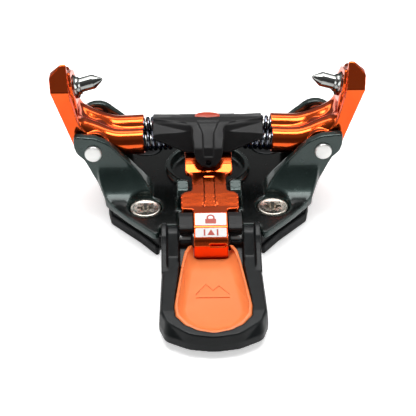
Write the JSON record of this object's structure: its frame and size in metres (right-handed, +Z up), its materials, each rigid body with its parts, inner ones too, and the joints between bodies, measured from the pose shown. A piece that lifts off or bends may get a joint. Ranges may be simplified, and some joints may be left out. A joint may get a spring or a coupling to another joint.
{
  "type": "ski touring binding toe piece",
  "caption": "Pin-type touring binding toe: two sprung pivoting wings with conical pins, a rocking toe stop and link, and a front lever, on a screwed base.",
  "frame": {"origin": "centre of the four mounting screws, on the ski's top face", "axes": "+Z up from the ski, -Y towards the ski tip and the lever, +X across the ski"},
  "size_m": [0.1038, 0.1165, 0.0593],
  "materials": {
    "deck_green": "gloss green-grey lacquer",
    "base_black": "fine moulded grain",
    "anodised_orange": "bright orange anodised, polished",
    "stop_black": "soft satin moulding",
    "lever_black": "satin glass-filled nylon",
    "pad_orange": "satin light orange moulding",
    "plug_orange": "satin orange",
    "spring_steel": "oil-tempered wire",
    "pin_steel": "hardened, turned and polished",
    "axle_steel": "bright rivet heads",
    "screw_steel": "warm zinc plated",
    "bush_brass": "plain bearing bronze",
    "block_metal": "as machined",
    "label_white": "white inlay with orange pictogram"
  },
  "bodies": {
    "base": {"base_pad": "base_black", "chassis": "deck_green", "mounting_screws": "screw_steel", "screw_ferrules": "axle_steel", "axle_clips": "axle_steel", "lever_axle": "axle_steel", "lever_axle_caps": "axle_steel", "left_wing_axle": "axle_steel", "right_wing_axle": "axle_steel", "left_axle_block": "stop_black", "right_axle_block": "stop_black"},
    "left_wing": {"left_wing": "anodised_orange", "left_wing_bush": "bush_brass", "left_toe_pin": "pin_steel", "left_front_spring": "spring_steel", "left_rear_spring": "spring_steel", "left_spring_guides": "axle_steel"},
    "right_wing": {"right_wing": "anodised_orange", "right_wing_bush": "bush_brass", "right_toe_pin": "pin_steel", "right_front_spring": "spring_steel", "right_rear_spring": "spring_steel", "right_spring_guides": "axle_steel"},
    "rocker": {"centre_link": "anodised_orange", "rocker_bush": "bush_brass", "lock_label": "label_white", "ski_label": "label_white", "spring_block": "block_metal", "toe_stop_cap": "stop_black", "toe_stop_plug": "plug_orange", "toe_stop_screw": "axle_steel"},
    "lever": {"lever_body": "lever_black", "lever_pad": "pad_orange", "lever_bushes": "bush_brass"}
  },
  "joints": [
    {"name": "left_wing_hinge", "type": "hinge", "parent": "base", "child": "left_wing", "pos_m": [-0.038, 0, 0.0235], "axis": [0, 1, 0], "range_deg": [0, 19], "deforming": ["left_front_spring", "left_rear_spring"]},
    {"name": "right_wing_hinge", "type": "hinge", "parent": "base", "child": "right_wing", "pos_m": [0.038, 0, 0.0235], "axis": [0, 1, 0], "range_deg": [-19, 0], "deforming": ["right_front_spring", "right_rear_spring"]},
    {"name": "rocker_hinge", "type": "hinge", "parent": "base", "child": "rocker", "pos_m": [0, -0.038, 0.0095], "axis": [1, 0, 0], "range_deg": [-10.07, 0]},
    {"name": "lever_hinge", "type": "hinge", "parent": "rocker", "child": "lever", "pos_m": [0, -0.038, 0.0095], "axis": [-1, 0, 0], "range_deg": [0, 35]}
  ],
  "couplings": [
    {"joint": "right_wing_hinge", "follows": "left_wing_hinge", "ratio": -1},
    {"joint": "rocker_hinge", "follows": "left_wing_hinge", "ratio": -0.53}
  ]
}
